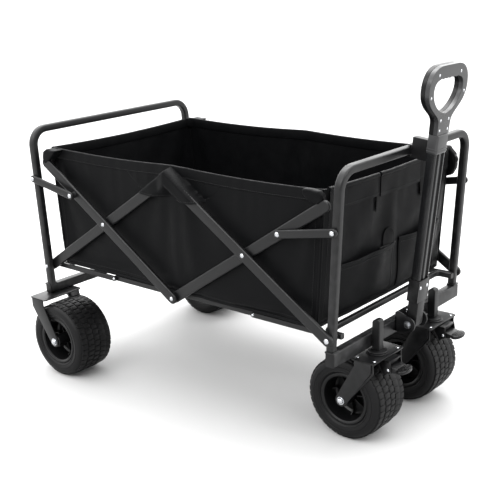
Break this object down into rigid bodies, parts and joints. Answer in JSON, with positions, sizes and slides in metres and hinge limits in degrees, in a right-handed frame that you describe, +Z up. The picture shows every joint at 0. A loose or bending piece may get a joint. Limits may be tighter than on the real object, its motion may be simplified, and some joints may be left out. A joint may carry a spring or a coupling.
{
  "type": "folding camp wagon",
  "caption": "Folding utility wagon: fabric basket hung in a scissor frame, swivel casters with brakes in front, fixed wide wheels behind and a telescopic pull handle.",
  "frame": {"origin": "on the ground under the middle of the wagon's outline, seen from above", "axes": "+X forward, toward the pull handle; +Y to the wagon's left; +Z up"},
  "size_m": [0.9634, 0.6356, 0.7615],
  "materials": {
    "frame_steel": "satin dark grey powder coat",
    "bolts": "bright zinc",
    "tyre": "matt black rubber with moulded tread",
    "black_plastic": "moulded black nylon",
    "handle_alloy": "dark anodised",
    "grey_plastic": "moulded grey nylon",
    "canvas": "coated polyester canvas, black"
  },
  "bodies": {
    "front_frame": {"front_hoop": "frame_steel", "front_crossbar": "frame_steel", "front_floor_rail": "frame_steel", "caster_socket_left": "frame_steel", "caster_socket_right": "frame_steel", "handle_bracket": "frame_steel"},
    "rear_frame": {"rear_hoop": "frame_steel", "rear_crossbar": "frame_steel", "rear_floor_rail": "frame_steel", "rear_fork_left": "frame_steel", "rear_fork_right": "frame_steel", "rear_axle_left": "bolts", "rear_axle_right": "bolts"},
    "handle_lower": {"handle_foot": "frame_steel", "handle_lower_tube": "handle_alloy", "handle_collar": "grey_plastic", "handle_clip": "black_plastic"},
    "handle_upper": {"handle_upper_tube": "handle_alloy", "grip_front_shell": "grey_plastic", "grip_rear_shell": "black_plastic"},
    "basket": {"basket": "canvas", "floor_mat": "canvas"},
    "front_outer_bar_right": {"front_outer_bar_right": "frame_steel"},
    "front_inner_bar_right": {"front_inner_bar_right": "frame_steel"},
    "rear_inner_bar_right": {"rear_inner_bar_right": "frame_steel"},
    "rear_outer_bar_right": {"rear_outer_bar_right": "frame_steel"},
    "front_link_right": {"front_link_right": "frame_steel"},
    "rear_link_right": {"rear_link_right": "frame_steel"},
    "front_outer_stay_right": {"front_outer_stay_right": "frame_steel"},
    "front_inner_stay_right": {"front_inner_stay_right": "frame_steel"},
    "rear_outer_stay_right": {"rear_outer_stay_right": "frame_steel"},
    "rear_inner_stay_right": {"rear_inner_stay_right": "frame_steel"},
    "rear_wheel_right": {"rear_tyre_right": "tyre", "rear_hub_right": "black_plastic"},
    "front_wheel_right": {"front_tyre_right": "tyre", "front_hub_right": "black_plastic"},
    "caster_right": {"caster_fork_right": "frame_steel", "caster_axle_right": "bolts", "brake_housing_right": "black_plastic"},
    "brake_right": {"brake_pedal_right": "black_plastic"},
    "front_outer_bar_left": {"front_outer_bar_left": "frame_steel"},
    "front_inner_bar_left": {"front_inner_bar_left": "frame_steel"},
    "rear_inner_bar_left": {"rear_inner_bar_left": "frame_steel"},
    "rear_outer_bar_left": {"rear_outer_bar_left": "frame_steel"},
    "front_link_left": {"front_link_left": "frame_steel"},
    "rear_link_left": {"rear_link_left": "frame_steel"},
    "front_outer_stay_left": {"front_outer_stay_left": "frame_steel"},
    "front_inner_stay_left": {"front_inner_stay_left": "frame_steel"},
    "rear_outer_stay_left": {"rear_outer_stay_left": "frame_steel"},
    "rear_inner_stay_left": {"rear_inner_stay_left": "frame_steel"},
    "rear_wheel_left": {"rear_tyre_left": "tyre", "rear_hub_left": "black_plastic"},
    "front_wheel_left": {"front_tyre_left": "tyre", "front_hub_left": "black_plastic"},
    "caster_left": {"caster_fork_left": "frame_steel", "caster_axle_left": "bolts", "brake_housing_left": "black_plastic"},
    "brake_left": {"brake_pedal_left": "black_plastic"}
  },
  "joints": [
    {"name": "fold", "type": "hinge", "parent": "front_frame", "child": "front_outer_bar_right", "pos_m": [0.36931, -0.2558, 0.258], "axis": [0, 1, 0], "range_deg": [0, 41.39], "deforming": ["basket", "floor_mat"]},
    {"name": "front_cross_right", "type": "hinge", "parent": "front_outer_bar_right", "child": "front_inner_bar_right", "pos_m": [0.16431, -0.251, 0.393], "axis": [0, 1, 0], "range_deg": [-82.96, 0]},
    {"name": "centre_head_right", "type": "hinge", "parent": "front_outer_bar_right", "child": "rear_inner_bar_right", "pos_m": [-0.04069, -0.251, 0.528], "axis": [0, 1, 0], "range_deg": [-82.96, 0]},
    {"name": "rear_cross_right", "type": "hinge", "parent": "rear_inner_bar_right", "child": "rear_outer_bar_right", "pos_m": [-0.24569, -0.251, 0.393], "axis": [0, 1, 0], "range_deg": [0, 82.96]},
    {"name": "rear_frame_hinge", "type": "hinge", "parent": "rear_inner_bar_right", "child": "rear_frame", "pos_m": [-0.45069, -0.251, 0.258], "axis": [0, 1, 0], "range_deg": [0, 41.49]},
    {"name": "front_link_right_hinge", "type": "hinge", "parent": "front_frame", "child": "front_link_right", "pos_m": [0.38218, -0.255, 0.47462], "axis": [0, 1, 0], "range_deg": [0, 78.34]},
    {"name": "rear_link_right_hinge", "type": "hinge", "parent": "rear_frame", "child": "rear_link_right", "pos_m": [-0.46356, -0.272, 0.47462], "axis": [0, 1, 0], "range_deg": [-78.34, 0]},
    {"name": "front_outer_stay_right_hinge", "type": "hinge", "parent": "front_frame", "child": "front_outer_stay_right", "pos_m": [0.36931, -0.229, 0.258], "axis": [0, 1, 0], "range_deg": [0, 71.81]},
    {"name": "front_inner_stay_right_hinge", "type": "hinge", "parent": "front_outer_stay_right", "child": "front_inner_stay_right", "pos_m": [0.16431, -0.226, 0.258], "axis": [0, 1, 0], "range_deg": [-143.6, 0]},
    {"name": "rear_outer_stay_right_hinge", "type": "hinge", "parent": "rear_frame", "child": "rear_outer_stay_right", "pos_m": [-0.45069, -0.236, 0.258], "axis": [0, 1, 0], "range_deg": [-71.81, 0]},
    {"name": "rear_inner_stay_right_hinge", "type": "hinge", "parent": "rear_outer_stay_right", "child": "rear_inner_stay_right", "pos_m": [-0.24569, -0.233, 0.258], "axis": [0, 1, 0], "range_deg": [0, 143.6]},
    {"name": "rear_wheel_right_spin", "type": "hinge", "parent": "rear_frame", "child": "rear_wheel_right", "pos_m": [-0.39169, -0.255, 0.09], "axis": [0, 1, 0], "continuous": true},
    {"name": "caster_right_swivel", "type": "hinge", "parent": "front_frame", "child": "caster_right", "pos_m": [0.39131, -0.112, 0.193], "axis": [0, 0, 1], "continuous": true},
    {"name": "front_wheel_right_spin", "type": "hinge", "parent": "caster_right", "child": "front_wheel_right", "pos_m": [0.34031, -0.112, 0.09], "axis": [0, 1, 0], "continuous": true},
    {"name": "brake_right_press", "type": "hinge", "parent": "caster_right", "child": "brake_right", "pos_m": [0.42931, -0.112, 0.168], "axis": [0, 1, 0], "range_deg": [0, 22]},
    {"name": "front_outer_bar_left_hinge", "type": "hinge", "parent": "front_frame", "child": "front_outer_bar_left", "pos_m": [0.36931, 0.2558, 0.258], "axis": [0, 1, 0], "range_deg": [0, 41.49]},
    {"name": "front_cross_left", "type": "hinge", "parent": "front_outer_bar_left", "child": "front_inner_bar_left", "pos_m": [0.16431, 0.251, 0.393], "axis": [0, 1, 0], "range_deg": [-82.96, 0]},
    {"name": "centre_head_left", "type": "hinge", "parent": "front_outer_bar_left", "child": "rear_inner_bar_left", "pos_m": [-0.04069, 0.251, 0.528], "axis": [0, 1, 0], "range_deg": [-82.96, 0]},
    {"name": "rear_cross_left", "type": "hinge", "parent": "rear_inner_bar_left", "child": "rear_outer_bar_left", "pos_m": [-0.24569, 0.251, 0.393], "axis": [0, 1, 0], "range_deg": [0, 82.96]},
    {"name": "front_link_left_hinge", "type": "hinge", "parent": "front_frame", "child": "front_link_left", "pos_m": [0.38218, 0.255, 0.47462], "axis": [0, 1, 0], "range_deg": [0, 78.34]},
    {"name": "rear_link_left_hinge", "type": "hinge", "parent": "rear_frame", "child": "rear_link_left", "pos_m": [-0.46356, 0.272, 0.47462], "axis": [0, 1, 0], "range_deg": [-78.34, 0]},
    {"name": "front_outer_stay_left_hinge", "type": "hinge", "parent": "front_frame", "child": "front_outer_stay_left", "pos_m": [0.36931, 0.229, 0.258], "axis": [0, 1, 0], "range_deg": [0, 71.81]},
    {"name": "front_inner_stay_left_hinge", "type": "hinge", "parent": "front_outer_stay_left", "child": "front_inner_stay_left", "pos_m": [0.16431, 0.226, 0.258], "axis": [0, 1, 0], "range_deg": [-143.6, 0]},
    {"name": "rear_outer_stay_left_hinge", "type": "hinge", "parent": "rear_frame", "child": "rear_outer_stay_left", "pos_m": [-0.45069, 0.236, 0.258], "axis": [0, 1, 0], "range_deg": [-71.81, 0]},
    {"name": "rear_inner_stay_left_hinge", "type": "hinge", "parent": "rear_outer_stay_left", "child": "rear_inner_stay_left", "pos_m": [-0.24569, 0.233, 0.258], "axis": [0, 1, 0], "range_deg": [0, 143.6]},
    {"name": "rear_wheel_left_spin", "type": "hinge", "parent": "rear_frame", "child": "rear_wheel_left", "pos_m": [-0.39169, 0.255, 0.09], "axis": [0, 1, 0], "continuous": true},
    {"name": "caster_left_swivel", "type": "hinge", "parent": "front_frame", "child": "caster_left", "pos_m": [0.39131, 0.112, 0.193], "axis": [0, 0, 1], "continuous": true},
    {"name": "front_wheel_left_spin", "type": "hinge", "parent": "caster_left", "child": "front_wheel_left", "pos_m": [0.34031, 0.112, 0.09], "axis": [0, 1, 0], "continuous": true},
    {"name": "brake_left_press", "type": "hinge", "parent": "caster_left", "child": "brake_left", "pos_m": [0.42931, 0.112, 0.168], "axis": [0, 1, 0], "range_deg": [0, 22]},
    {"name": "handle_tilt", "type": "hinge", "parent": "front_frame", "child": "handle_lower", "pos_m": [0.40931, 0, 0.226], "axis": [0, 1, 0], "range_deg": [0, 84]},
    {"name": "handle_telescope", "type": "slide", "parent": "handle_lower", "child": "handle_upper", "axis": [0.1097, 0, 0.994], "range_m": [0, 0.26]},
    {"name": "basket_gather", "type": "slide", "parent": "front_frame", "child": "basket", "axis": [0, 0, 1], "range_m": [0, 0.20405]}
  ],
  "couplings": [
    {"joint": "front_cross_right", "follows": "fold", "ratio": -2},
    {"joint": "centre_head_right", "follows": "fold", "ratio": -2},
    {"joint": "rear_cross_right", "follows": "fold", "ratio": 2},
    {"joint": "rear_frame_hinge", "follows": "fold", "ratio": 1},
    {"joint": "front_link_right_hinge", "follows": "fold", "ratio": 1.8884},
    {"joint": "rear_link_right_hinge", "follows": "fold", "ratio": -1.8884},
    {"joint": "front_outer_stay_right_hinge", "follows": "fold", "ratio": 1.7311},
    {"joint": "front_inner_stay_right_hinge", "follows": "fold", "ratio": -3.4623},
    {"joint": "rear_outer_stay_right_hinge", "follows": "fold", "ratio": -1.7311},
    {"joint": "rear_inner_stay_right_hinge", "follows": "fold", "ratio": 3.4623},
    {"joint": "front_outer_bar_left_hinge", "follows": "fold", "ratio": 1},
    {"joint": "front_cross_left", "follows": "fold", "ratio": -2},
    {"joint": "centre_head_left", "follows": "fold", "ratio": -2},
    {"joint": "rear_cross_left", "follows": "fold", "ratio": 2},
    {"joint": "front_link_left_hinge", "follows": "fold", "ratio": 1.8884},
    {"joint": "rear_link_left_hinge", "follows": "fold", "ratio": -1.8884},
    {"joint": "front_outer_stay_left_hinge", "follows": "fold", "ratio": 1.7311},
    {"joint": "front_inner_stay_left_hinge", "follows": "fold", "ratio": -3.4623},
    {"joint": "rear_outer_stay_left_hinge", "follows": "fold", "ratio": -1.7311},
    {"joint": "rear_inner_stay_left_hinge", "follows": "fold", "ratio": 3.4623},
    {"joint": "basket_gather", "follows": "fold", "m_per_rad": 0.28191}
  ]
}
